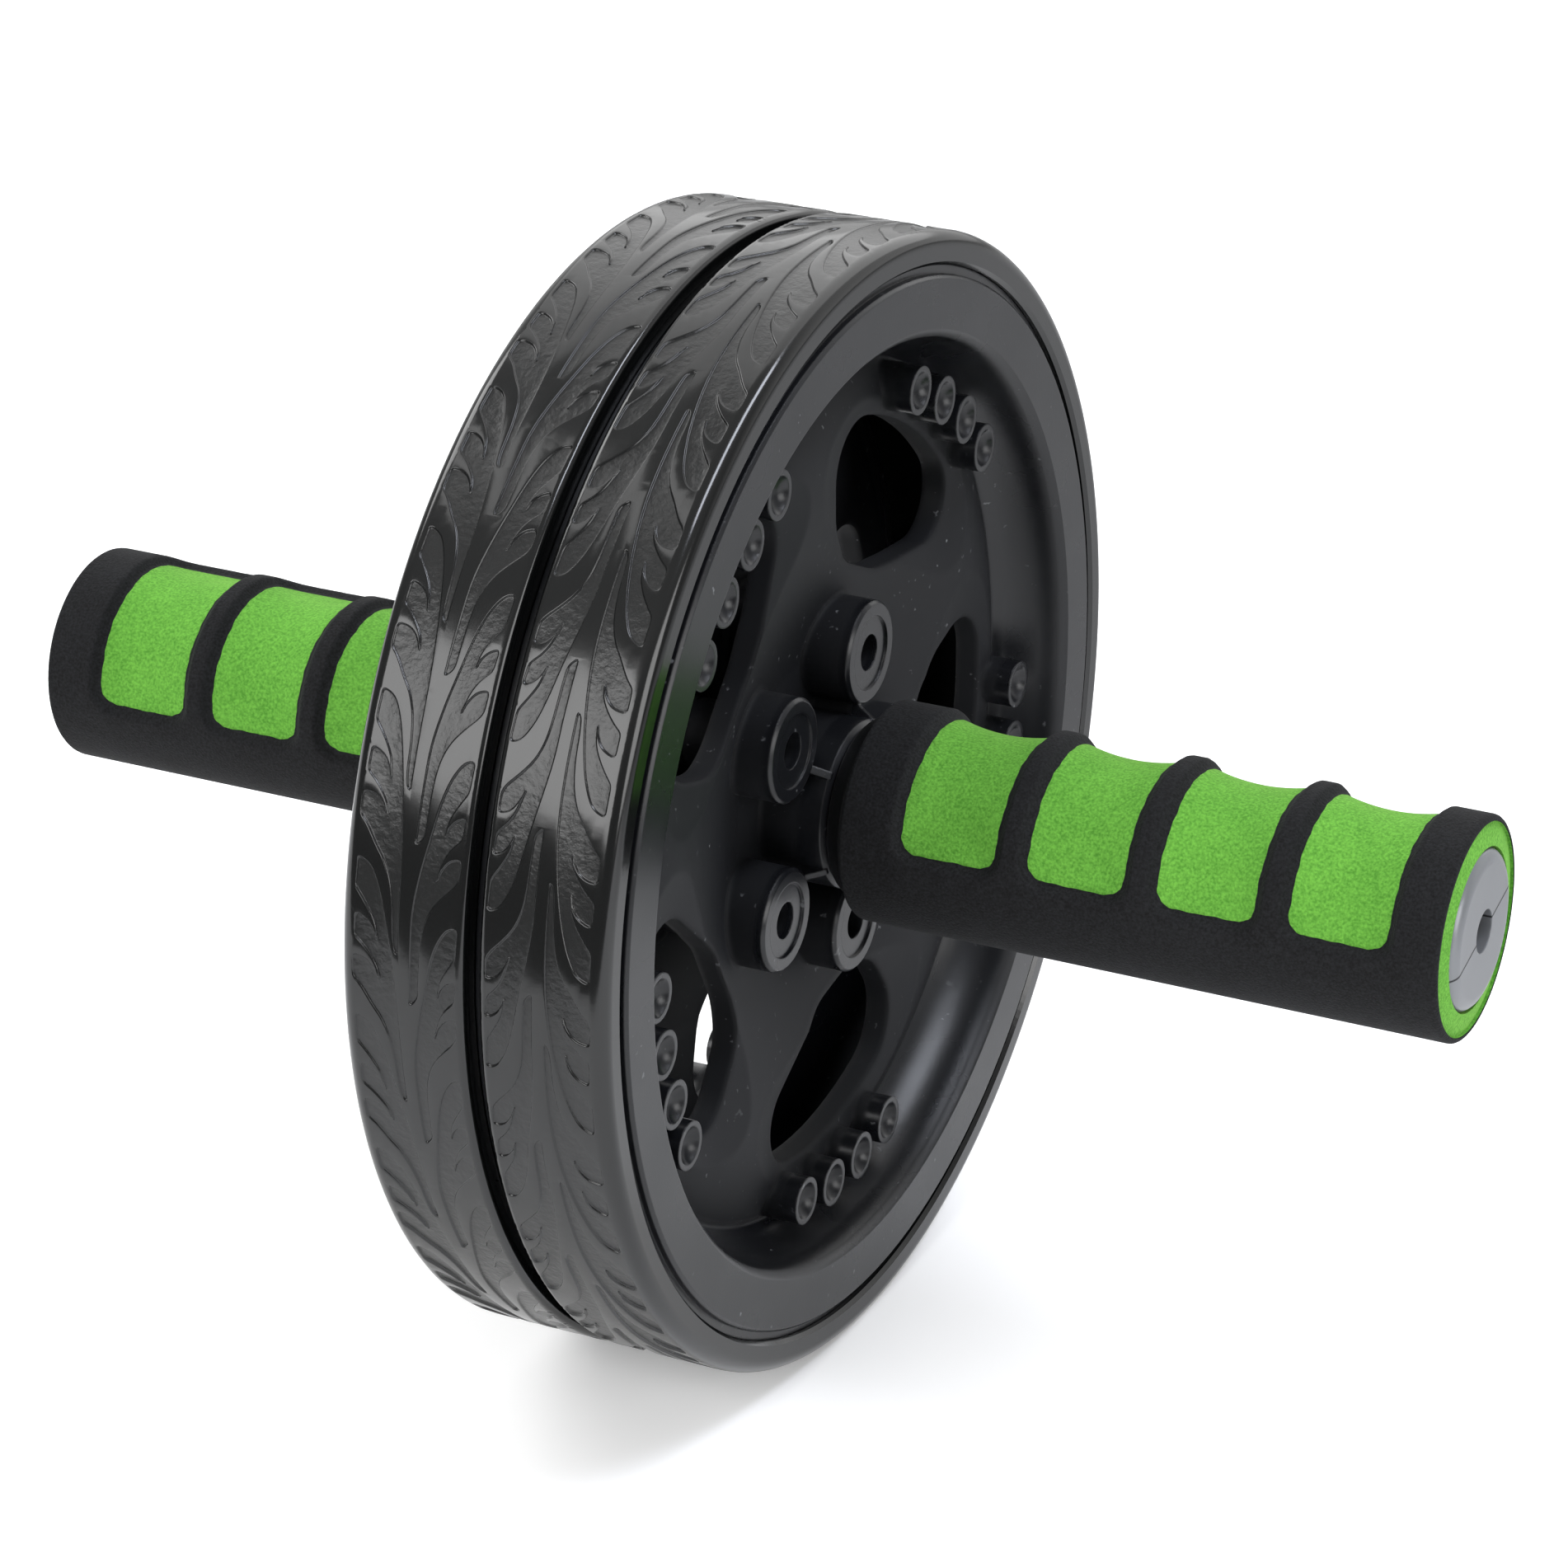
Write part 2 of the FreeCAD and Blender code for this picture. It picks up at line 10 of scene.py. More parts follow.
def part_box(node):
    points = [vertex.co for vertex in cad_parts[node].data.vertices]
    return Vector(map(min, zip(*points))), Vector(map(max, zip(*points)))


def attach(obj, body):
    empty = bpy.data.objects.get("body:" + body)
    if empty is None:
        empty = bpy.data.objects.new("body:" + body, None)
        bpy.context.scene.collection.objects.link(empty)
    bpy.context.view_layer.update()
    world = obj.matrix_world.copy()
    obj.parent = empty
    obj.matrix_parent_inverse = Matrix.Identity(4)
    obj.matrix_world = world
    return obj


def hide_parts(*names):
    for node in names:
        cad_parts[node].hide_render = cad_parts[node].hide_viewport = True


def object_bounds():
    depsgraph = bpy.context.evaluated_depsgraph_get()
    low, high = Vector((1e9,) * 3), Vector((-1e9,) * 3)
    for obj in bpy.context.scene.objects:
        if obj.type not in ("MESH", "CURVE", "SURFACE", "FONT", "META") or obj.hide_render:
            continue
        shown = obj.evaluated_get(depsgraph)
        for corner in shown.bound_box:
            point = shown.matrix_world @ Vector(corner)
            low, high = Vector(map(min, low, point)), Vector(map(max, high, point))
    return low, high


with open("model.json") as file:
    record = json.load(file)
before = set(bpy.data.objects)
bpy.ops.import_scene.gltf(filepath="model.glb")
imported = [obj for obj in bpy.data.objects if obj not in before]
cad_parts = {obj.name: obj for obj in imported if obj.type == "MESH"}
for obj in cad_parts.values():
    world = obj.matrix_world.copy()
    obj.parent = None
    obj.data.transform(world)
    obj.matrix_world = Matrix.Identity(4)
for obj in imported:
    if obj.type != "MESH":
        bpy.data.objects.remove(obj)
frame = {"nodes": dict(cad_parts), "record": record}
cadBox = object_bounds()
print("frame loaded")

mm = 0.001
pureWhite = "#ffffff"
noiseLow, noiseHigh = 0.3, 0.7  # most values of a noise texture lie between these


def colour(hexCode):
    parts = [int(hexCode[i:i + 2], 16) / 255 for i in (1, 3, 5)]
    return tuple(c / 12.92 if c <= 0.04045 else ((c + 0.055) / 1.055) ** 2.4 for c in parts) + (1.0,)


# In a Mix node, inputs 2 and 3 are the two numbers and output 0 their mix; for colours they are 6, 7 and 2
def addNode(tree, kind, values=None, links=None, **settings):
    node = tree.nodes.new("ShaderNode" + kind)
    for name, value in settings.items():
        setattr(node, name, value)
    for socket, value in (values or {}).items():
        node.inputs[socket].default_value = value
    for socket, source in (links or {}).items():
        tree.links.new(source, node.inputs[socket])
    return node


def startMaterial(name):
    material = bpy.data.materials.new(name)
    material.use_nodes = True
    tree = material.node_tree
    shader = next(node for node in tree.nodes if node.type == "BSDF_PRINCIPLED")
    place = addNode(tree, "TexCoord").outputs["Object"]
    return material, tree, shader, place


def finishMaterial(tree, shader, links, values=None):
    for socket, source in links.items():
        tree.links.new(source, shader.inputs[socket])
    for socket, value in (values or {}).items():
        shader.inputs[socket].default_value = value


# Materials

mouldedLooks = {
    "wheel": {
        "base": "#131417", "dust": "#8a8c8f", "dustShare": 0.6, "roughness": (0.24, 0.34), "edge": 0.4 * mm,
        "mattRoughness": 0.62, "mattEdge": 1.6 * mm, "lipEdge": 4.0 * mm, "gloss": 0.4, "mattGloss": 0.24,
        # Limit of a zone and half its fade, which is negative where the zone lies below the limit
        "mattReach": (70.5 * mm, -1.0 * mm), "mattHeight": (15.2 * mm, -0.5 * mm),
        "lipFoot": (72.0 * mm, 0.5 * mm), "lipTop": (76.7 * mm, -0.1 * mm),
    },
    "collar": {
        "base": "#0e0f10", "dust": "#7d7f82", "dustShare": 0.1, "roughness": (0.4, 0.52), "edge": 0.4 * mm,
    },
    "core": {
        "base": "#7b7d80", "dust": "#a9abad", "dustShare": 0.1, "roughness": (0.26, 0.36), "edge": 0.3 * mm,
        "metallic": 0.35,  # silvery pigment in the grey
        "seam": "#2b2c2e", "seamAngle": 16.0, "seamWidth": 0.3 * mm, "seamShare": 0.9,
    },
    "nylon": {
        "base": "#dcd9cf", "dust": "#c9c5b8", "dustShare": 0.1, "roughness": (0.4, 0.5), "edge": 0.2 * mm,
    },
}
plasticFinish = {
    "ior": 1.5, "edgeSamples": 4,
    # The eroded grain is really under 0.1 mm wide, and is drawn coarser so that it shows
    "grain": 0.4 * mm, "grainHeight": 0.06 * mm, "grainStrength": 0.12,
    "sheen": 22.0 * mm, "speck": 1.6 * mm, "speckLevels": (0.69, 0.76),
    "dustPatch": 11.0 * mm, "dustLevels": (0.45, 0.65),
}


def wheelZones(tree, place, look):
    # The first is one on the sunken spider, where the mould was spark eroded, the second on the dish's lip
    parts = addNode(tree, "SeparateXYZ", None, {0: place}).outputs
    across = addNode(tree, "CombineXYZ", None, {1: parts["Y"], 2: parts["Z"]}).outputs[0]
    reach = addNode(tree, "VectorMath", None, {0: across}, operation="LENGTH").outputs["Value"]
    height = addNode(tree, "Math", None, {0: parts["X"]}, operation="ABSOLUTE").outputs["Value"]
    limits = []
    for source, name in ((reach, "mattReach"), (height, "mattHeight"), (reach, "lipFoot"), (reach, "lipTop")):
        middle, fade = look[name]
        limit = addNode(tree, "MapRange", {"From Min": middle - fade, "From Max": middle + fade},
                        {"Value": source})
        limits.append(limit.outputs["Result"])
    zones = []
    for first, second in (limits[:2], limits[2:]):
        zone = addNode(tree, "Math", None, {0: first, 1: second}, operation="MULTIPLY")
        zones.append(zone.outputs["Value"])
    return zones


def seamLine(tree, place, look):
    # How dark the split of the handle cores is, and zero away from it; the left core is turned end for end
    parts = addNode(tree, "SeparateXYZ", None, {0: place}).outputs
    end = addNode(tree, "Math", None, {0: parts["X"]}, operation="SIGN").outputs["Value"]
    turned = addNode(tree, "Math", None, {0: parts["Y"], 1: end}, operation="MULTIPLY").outputs["Value"]
    slope = math.tan(math.radians(look["seamAngle"]))
    rise = addNode(tree, "Math", {1: slope}, {0: turned}, operation="MULTIPLY").outputs["Value"]
    off = addNode(tree, "Math", None, {0: parts["Z"], 1: rise}, operation="SUBTRACT").outputs["Value"]
    away = addNode(tree, "Math", None, {0: off}, operation="ABSOLUTE").outputs["Value"]
    line = addNode(tree, "MapRange", {"From Min": look["seamWidth"], "From Max": look["seamWidth"] / 2,
                                      "To Max": look["seamShare"]}, {"Value": away})
    return line.outputs["Result"]


def mouldedPlastic(name, look):
    # Satin moulded plastic: a fine spark-eroded grain, softened edges and a few pale specks of dust
    material, tree, shader, place = startMaterial(name)
    noise = {}
    for pattern, detail in (("grain", 3.0), ("sheen", 4.0), ("speck", 2.0), ("dustPatch", 2.0)):
        texture = addNode(tree, "TexNoise", {"Scale": 1 / plasticFinish[pattern], "Detail": detail},
                          {"Vector": place})
        noise[pattern] = texture.outputs["Fac"]
    low, high = plasticFinish["speckLevels"]
    specks = addNode(tree, "MapRange", {"From Min": low, "From Max": high}, {"Value": noise["speck"]})
    low, high = plasticFinish["dustLevels"]
    patches = addNode(tree, "MapRange", {"From Min": low, "From Max": high, "To Max": look["dustShare"]},
                      {"Value": noise["dustPatch"]})
    dust = addNode(tree, "Math", None, {0: specks.outputs["Result"], 1: patches.outputs["Result"]},
                   operation="MULTIPLY")
    tint = addNode(tree, "Mix", {6: colour(look["base"]), 7: colour(look["dust"])},
                   {"Factor": dust.outputs["Value"]}, data_type="RGBA")
    low, high = look["roughness"]
    rough = addNode(tree, "MapRange", {"From Min": noiseLow, "From Max": noiseHigh,
                                       "To Min": low, "To Max": high}, {"Value": noise["sheen"]})
    edge = addNode(tree, "Bevel", {"Radius": look["edge"]}, samples=plasticFinish["edgeSamples"])
    bump = addNode(tree, "Bump", {"Strength": plasticFinish["grainStrength"],
                                  "Distance": plasticFinish["grainHeight"]},
                   {"Height": noise["grain"], "Normal": edge.outputs["Normal"]})
    finishMaterial(tree, shader, {"Base Color": tint.outputs[2], "Roughness": rough.outputs["Result"],
                                  "Normal": bump.outputs["Normal"]},
                   {"IOR": plasticFinish["ior"], "Metallic": look.get("metallic", 0.0)})
    if "seam" in look:
        split = addNode(tree, "Mix", {7: colour(look["seam"])},
                        {"Factor": seamLine(tree, place, look), 6: tint.outputs[2]}, data_type="RGBA")
        finishMaterial(tree, shader, {"Base Color": split.outputs[2]})
    if "mattReach" in look:
        zone, lip = wheelZones(tree, place, look)
        softness = addNode(tree, "MapRange", {"To Min": look["edge"], "To Max": look["mattEdge"]},
                           {"Value": zone})
        rounding = addNode(tree, "Mix", {3: look["lipEdge"]}, {"Factor": lip, 2: softness.outputs["Result"]})
        tree.links.new(rounding.outputs[0], edge.inputs["Radius"])
        matt = addNode(tree, "Mix", {3: look["mattRoughness"]}, {"Factor": zone, 2: rough.outputs["Result"]})
        glint = addNode(tree, "MapRange", {"To Min": look["gloss"], "To Max": look["mattGloss"]},
                        {"Value": zone})
        finishMaterial(tree, shader, {"Roughness": matt.outputs[0],
                                      "Specular IOR Level": glint.outputs["Result"]})
    return material


rubberLook = {
    # floor is a touch darker than land: painted shade in the tread's recesses, as both are the same rubber
    "land": "#0a0b0b", "floor": "#090a0a", "landRoughness": 0.14, "floorRoughness": 0.3, "ior": 1.52,
    "grain": 1.1 * mm, "grainHeight": 0.25 * mm, "landGrain": 0.02, "floorGrain": 0.38,
    "wave": 6.25 * mm, "waveHeight": 0.1 * mm, "waveStrength": 0.1,
}


def tyreRubber():
    # Glossy moulded rubber: smooth lands that mirror the lights, grainy floors in the tread, painted a touch
    # darker than the lands as painted shade in the recesses
    material, tree, shader, place = startMaterial("glossy moulded rubber")
    recess = addNode(tree, "Attribute", attribute_name="recess").outputs["Fac"]
    grain = addNode(tree, "TexNoise", {"Scale": 1 / rubberLook["grain"], "Detail": 3.0, "Roughness": 0.55},
                    {"Vector": place})
    waves = addNode(tree, "TexNoise", {"Scale": 1 / rubberLook["wave"], "Detail": 3.0}, {"Vector": place})
    # Painted shade: the recess floors take the darker colour
    tint = addNode(tree, "Mix", {6: colour(rubberLook["land"]), 7: colour(rubberLook["floor"])},
                   {"Factor": recess}, data_type="RGBA")
    rough = addNode(tree, "MapRange", {"To Min": rubberLook["landRoughness"],
                                       "To Max": rubberLook["floorRoughness"]}, {"Value": recess})
    wavy = addNode(tree, "Bump", {"Strength": rubberLook["waveStrength"],
                                  "Distance": rubberLook["waveHeight"]}, {"Height": waves.outputs["Fac"]})
    grainShare = addNode(tree, "MapRange", {"To Min": rubberLook["landGrain"],
                                            "To Max": rubberLook["floorGrain"]}, {"Value": recess})
    grainy = addNode(tree, "Bump", {"Distance": rubberLook["grainHeight"]},
                     {"Strength": grainShare.outputs["Result"], "Height": grain.outputs["Fac"],
                      "Normal": wavy.outputs["Normal"]})
    finishMaterial(tree, shader, {"Base Color": tint.outputs[2], "Roughness": rough.outputs["Result"],
                                  "Normal": grainy.outputs["Normal"]}, {"IOR": rubberLook["ior"]})
    return material


foamLooks = {
    "green": {"high": "#6aac3f", "low": "#488628", "fuzz": 0.22, "fuzzTint": "#b4dc5c"},
    "black": {"high": "#1a1b1d", "low": "#050506", "fuzz": 0.02, "fuzzTint": "#8a8c90"},
}
foamFinish = {
    "roughness": 0.92, "gloss": 0.3, "fuzzRoughness": 0.4,
    "crumb": 0.43 * mm, "crumbHeight": 0.2 * mm, "crumbStrength": 0.7,
    "cell": 0.45 * mm, "cellHeight": 0.1 * mm, "cellStrength": 0.4,
    "mottle": 7.7 * mm, "mottleShare": 0.12,
}


def foam(name, look):
    # Ground rubber foam: matt, with pale crumbs of under half a millimetre, dark torn cells between them
    # and soft mottling
    material, tree, shader, place = startMaterial(name)
    crumbs = addNode(tree, "TexNoise", {"Scale": 1 / foamFinish["crumb"], "Detail": 2.0, "Roughness": 0.5},
                     {"Vector": place})
    cells = addNode(tree, "TexVoronoi", {"Scale": 1 / foamFinish["cell"]}, {"Vector": place})
    mottle = addNode(tree, "TexNoise", {"Scale": 1 / foamFinish["mottle"], "Detail": 4.0}, {"Vector": place})
    shade = addNode(tree, "MapRange", {"From Min": noiseLow, "From Max": noiseHigh},
                    {"Value": crumbs.outputs["Fac"]})
    share = foamFinish["mottleShare"]
    cloud = addNode(tree, "MapRange", {"From Min": noiseLow, "From Max": noiseHigh,
                                       "To Min": -share, "To Max": share}, {"Value": mottle.outputs["Fac"]})
    level = addNode(tree, "Math", None, {0: shade.outputs["Result"], 1: cloud.outputs["Result"]},
                    use_clamp=True)
    tint = addNode(tree, "Mix", {6: colour(look["low"]), 7: colour(look["high"])},
                   {"Factor": level.outputs["Value"]}, data_type="RGBA")
    coarse = addNode(tree, "Bump", {"Strength": foamFinish["crumbStrength"],
                                    "Distance": foamFinish["crumbHeight"]}, {"Height": crumbs.outputs["Fac"]})
    fine = addNode(tree, "Bump", {"Strength": foamFinish["cellStrength"],
                                  "Distance": foamFinish["cellHeight"]},
                   {"Height": cells.outputs["Distance"], "Normal": coarse.outputs["Normal"]})
    finishMaterial(tree, shader, {"Base Color": tint.outputs[2], "Normal": fine.outputs["Normal"]},
                   {"Roughness": foamFinish["roughness"], "Specular IOR Level": foamFinish["gloss"],
                    "Sheen Weight": look["fuzz"], "Sheen Roughness": foamFinish["fuzzRoughness"],
                    "Sheen Tint": colour(look["fuzzTint"])})
    return material


steelLooks = {
    "bright drawn steel": {"base": "#b9babc", "roughness": (0.22, 0.36)},
    "zinc plated steel": {"base": "#a9acb0", "roughness": (0.28, 0.42)},
}
steelMark = 1.1 * mm  # real drawing marks are far finer, too fine to show


def steel(name):
    # Machined steel: clear metal reflections broken by fine drawing marks
    material, tree, shader, place = startMaterial(name)
    marks = addNode(tree, "TexNoise", {"Scale": 1 / steelMark, "Detail": 4.0}, {"Vector": place})
    low, high = steelLooks[name]["roughness"]
    rough = addNode(tree, "MapRange", {"To Min": low, "To Max": high}, {"Value": marks.outputs["Fac"]})
    finishMaterial(tree, shader, {"Roughness": rough.outputs["Result"]},
                   {"Base Color": colour(steelLooks[name]["base"]), "Metallic": 1.0})
    return material


drawnSteel = steel("bright drawn steel")
zincSteel = steel("zinc plated steel")
materials = {
    "wheel_plastic": mouldedPlastic("satin black moulded plastic", mouldedLooks["wheel"]),
    "collar_plastic": mouldedPlastic("satin black collar plastic", mouldedLooks["collar"]),
    "core_plastic": mouldedPlastic("satin grey moulded plastic", mouldedLooks["core"]),
    "bush_nylon": mouldedPlastic("natural nylon", mouldedLooks["nylon"]),
    "tyre_rubber": tyreRubber(),
    "foam_green": foam("green rubber foam", foamLooks["green"]),
    "foam_black": foam("black rubber foam", foamLooks["black"]),
    "axle_steel": drawnSteel,
    "pin_steel": drawnSteel,
    "screw_steel": zincSteel,
    "washer_steel": zincSteel,
}
for part in frame["record"]["subparts"]:
    mesh = frame["nodes"][part["node"]].data
    mesh.materials.clear()
    mesh.materials.append(materials[part["material_slot"]])
print("materials made")


# Shapes that wrap round the axle: a flat patch is triangulated along its outlines, then rolled up

patchTools = {
    "easing": 2,  # passes that round an outline's corners
    "overhang": 2.0, "weld": 1e-5, "sameLine": 1e-3, "slopeStep": 0.02,  # all in millimetres
}


def smoothRun(points, spacing):
    points = np.array(points, float)
    ends = np.vstack([2 * points[0] - points[1], points, 2 * points[-1] - points[-2]])
    samples = []
    for a, b, c, d in zip(ends[:-3], ends[1:-2], ends[2:-1], ends[3:]):
        count = max(1, math.ceil(np.linalg.norm(c - b) / spacing))
        t = (np.arange(count) / count)[:, None]
        samples.append(b + (c - a) * t / 2 + (2 * a - 5 * b + 4 * c - d) * t ** 2 / 2
                       + (3 * b - a - 3 * c + d) * t ** 3 / 2)
    return np.vstack(samples)


def closedOutline(runs, spacing):
    loop = np.vstack([smoothRun(run, spacing) for run in runs])
    for _ in range(patchTools["easing"]):
        loop = (np.roll(loop, 1, 0) + 2 * loop + np.roll(loop, -1, 0)) / 4
    following = np.roll(loop, -1, 0)
    area = np.sum(loop[:, 0] * following[:, 1] - following[:, 0] * loop[:, 1])
    return loop if area > 0 else loop[::-1]


def offsetOutline(loop, distance):
    along = np.roll(loop, -1, 0) - np.roll(loop, 1, 0)
    outward = np.stack([along[:, 1], -along[:, 0]], 1) / np.linalg.norm(along, axis=1)[:, None]
    return loop + outward * distance


def signedDistance(points, loops):
    nearest = np.full(len(points), np.inf)
    inside = np.zeros(len(points), bool)
    for loop in loops:
        start, end = loop, np.roll(loop, -1, 0)
        side = end - start
        reach = points[:, None] - start[None]
        t = np.clip((reach * side).sum(2) / (side * side).sum(1), 0, 1)
        nearest = np.minimum(nearest, np.linalg.norm(reach - t[..., None] * side, axis=2).min(1))
        x, y = points[:, :1], points[:, 1:]
        spans = (start[:, 1] > y) != (end[:, 1] > y)
        rise = np.where(side[:, 1] == 0, 1, side[:, 1])
        crossings = spans & (x < start[:, 0] + side[:, 0] * (y - start[:, 1]) / rise)
        inside ^= crossings.sum(1) % 2 == 1
    return np.where(inside, -nearest, nearest)


def flatPatch(columns, rows, loops, isClear):
    points, edges = [], []

    def chain(line, closed=False):
        first = len(points)
        points.extend(line)
        edges.extend((first + i, first + i + 1) for i in range(len(line) - 1))
        if closed:
            edges.append((len(points) - 1, first))

    grid = np.array([(s, w) for s in columns for w in rows])
    clear = isClear(grid).reshape(len(columns), len(rows))
    clear[:, [0, -1]] = True
    grid = grid.reshape(len(columns), len(rows), 2)
    for column in (0, -1):
        chain(grid[column][clear[0]])
    for row in (0, -1):
        chain(grid[:, row])
    first, last = columns[0] - patchTools["overhang"], columns[-1] + patchTools["overhang"]
    for loop in loops:
        shown = (loop[:, 0] > first) & (loop[:, 0] < last)
        if shown.all():
            chain(loop, closed=True)
            continue
        turn = np.flatnonzero(~shown)[0]
        loop, shown = np.roll(loop, -turn, 0), np.roll(shown, -turn)
        for stretch in np.split(np.arange(len(loop)), np.flatnonzero(np.diff(shown.astype(int))) + 1):
            if shown[stretch[0]] and len(stretch) > 1:
                chain(loop[stretch])
    middle = clear.copy()
    middle[[0, -1]] = middle[:, [0, -1]] = False
    points.extend(grid[middle])
    found = delaunay_2d_cdt([Vector(point) for point in points], edges, [], 0, patchTools["weld"])
    corners = np.array([point[:] for point in found[0]])
    faces = np.array(found[2])
    centres = corners[faces].mean(1)
    kept = ((centres > (columns[0], rows[0])) & (centres < (columns[-1], rows[-1]))).all(1)
    used, faces = np.unique(faces[kept], return_inverse=True)
    return corners[used], faces.reshape(-1, 3)


def cornersOnLine(corners, axis, place):
    # Corners on one side of a flat patch, in order along it
    found = np.flatnonzero(abs(corners[:, axis] - place) < patchTools["sameLine"])
    return found[np.argsort(corners[found, 1 - axis])]


def rollUp(corners, faces, columns, repeats, depthAt):
    period = columns[-1] - columns[0]
    left, right = (cornersOnLine(corners, 0, place) for place in (columns[0], columns[-1]))
    kept = np.setdiff1d(np.arange(len(corners)), right)
    index = np.zeros(len(corners), int)
    index[kept] = np.arange(len(kept))
    step = patchTools["slopeStep"]
    depth = depthAt(corners[kept])
    slopes = [(depthAt(corners[kept] + move) - depthAt(corners[kept] - move)) / (2 * step)
              for move in (np.array([step, 0]), np.array([0, step]))]
    relief = np.tile(np.stack([depth] + slopes, 1), (repeats, 1))
    allFaces, allCorners = [], []
    for turn in range(repeats):
        table = index + turn * len(kept)
        table[right] = index[left] + (turn + 1) % repeats * len(kept)
        allFaces.append(table[faces])
        allCorners.append(corners[kept] + (turn * period, 0))
    return np.vstack(allCorners), np.vstack(allFaces), relief


def crossSection(w, shape):
    over = np.maximum(w - shape["high"], 0) / shape["highRound"]
    under = np.maximum(shape["low"] - w, 0) / shape["lowRound"]
    x = np.clip(w, shape["low"], shape["high"])
    x = x + shape["highRound"] * np.sin(over) - shape["lowRound"] * np.sin(under)
    drop = shape["highRound"] * (1 - np.cos(over)) + shape["lowRound"] * (1 - np.cos(under))
    return x, shape["radius"] - drop, np.sin(over) - np.sin(under), np.cos(over) * np.cos(under)


def patchLimits(shape):
    return (shape["low"] - shape["lowRound"] * math.pi / 2, shape["high"] + shape["highRound"] * math.pi / 2)


def ringBack(places, outward, edgeRows, rings):
    # Closes the band with plain rings from its high edge round to its low edge
    low, high = edgeRows
    added, chain, total = [], [high], len(places)
    for ringX, ringRadius in rings:
        added.append(ringX * np.array([1.0, 0, 0]) + ringRadius * outward[high])
        chain.append(np.arange(total, total + len(high)))
        total += len(high)
    chain.append(low)
    quads = []
    for a, b in zip(chain[:-1], chain[1:]):
        quads.extend(zip(a, np.roll(a, -1), np.roll(b, -1), b))
    return np.vstack([places] + added), quads


def shellBack(places, outward, faces, innerRadius):
    # Closes a thin layer with an inner copy of its faces and a rim along each open edge
    inner = places * (1, 0, 0) + innerRadius * outward
    sides = {(int(a), int(b)) for face in faces for a, b in zip(face, np.roll(face, -1))}
    count = len(places)
    backs = [tuple(face[::-1] + count) for face in faces]
    rims = [(b, a, a + count, b + count) for a, b in sides if (b, a) not in sides]
    return np.vstack([places, inner]), backs + rims


def wrappedMesh(name, shape, corners, faces, relief, rings=None, innerRadius=None):
    depth, slopeAlong, slopeAcross = relief.T
    x, radius, leanX, leanOut = crossSection(corners[:, 1], shape)
    x, radius = x - depth * leanX, radius - depth * leanOut
    turn = corners[:, 0] / shape["radius"] + shape["firstAngle"]
    outward = np.stack([np.zeros_like(turn), np.cos(turn), np.sin(turn)], 1)
    forward = np.stack([np.zeros_like(turn), -np.sin(turn), np.cos(turn)], 1)
    sideways = np.array([1.0, 0, 0])
    places = x[:, None] * sideways + radius[:, None] * outward
    normals = leanX[:, None] * sideways + leanOut[:, None] * outward + slopeAlong[:, None] * forward
    normals += slopeAcross[:, None] * (leanOut[:, None] * sideways - leanX[:, None] * outward)
    normals /= np.linalg.norm(normals, axis=1)[:, None]
    if rings:
        edgeRows = [cornersOnLine(corners, 1, limit) for limit in patchLimits(shape)]
        places, others = ringBack(places, outward, edgeRows, rings)
    else:
        places, others = shellBack(places, outward, faces, innerRadius)
    polygons = [tuple(map(int, face)) for face in [*faces, *others]]
    mesh = bpy.data.meshes.new(name)
    mesh.from_pydata((places * mm).tolist(), [], polygons)
    smooth = np.zeros(len(polygons), bool)
    smooth[:len(faces)] = True
    mesh.polygons.foreach_set("use_smooth", smooth)
    loopNormals = np.zeros((len(mesh.loops), 3))
    loopNormals[:faces.size] = normals[faces.ravel()]
    mesh.normals_split_custom_set(loopNormals.tolist())
    return mesh


def addPiece(name, mesh, body, node, slotName):
    piece = bpy.data.objects.new(name, mesh)
    bpy.context.scene.collection.objects.link(piece)
    mesh.materials.append(materials[slotName])
    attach(piece, body)
    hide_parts(node)
    return piece


# Tyres: winged tread, sunk into a smooth band

tyreLow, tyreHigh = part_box("right_tyre")
tyre = {
    "radius": tyreHigh.z / mm, "inner": tyreLow.x / mm, "outer": tyreHigh.x / mm, "seat": 87.05, "lip": 0.6,
    "innerRound": 1.3, "outerRound": 2.6, "repeats": 23, "depth": 0.4, "wall": 0.2, "spacing": 0.6,
    "columns": 16, "innerRows": 5, "treadRows": 12, "outerRows": 8, "clearWalls": 2.2,
    "innerTip": 145.2, "outerTip": 149.9, "leftTurn": 310.15,  # degrees about the axle
}

# Runs of each wing in mm, along the tread from the tail's tip and across it; runs meet at corners
innerWing = (
    ((0, 10.3), (1.4, 8.95)),
    ((1.4, 8.95), (4.8, 8.8), (9.4, 8.6), (13, 8.1), (16, 6.9), (18.3, 5.1), (20.1, 3.4), (21.3, 2.6)),
    ((21.3, 2.6), (24.5, 2.5)),
    ((24.5, 2.5), (23.9, 4.4), (22.1, 5.7), (20.1, 6.5)),
    ((20.1, 6.5), (23.9, 5.4), (25.9, 4.2), (27.4, 2.7)),
    ((27.4, 2.7), (30.8, 2.5)),
    ((30.8, 2.5), (30, 4.2), (28.6, 5.2), (27, 5.7)),
    ((27, 5.7), (29.9, 5.2), (32.3, 4), (34.5, 2.6)),
    ((34.5, 2.6), (39.2, 2.4)),
    ((39.2, 2.4), (38.6, 4.1), (35.8, 5.8), (31.8, 7), (26.7, 8), (20.6, 9.2), (15, 10), (8.9, 10.15),
     (0, 10.3)),
)
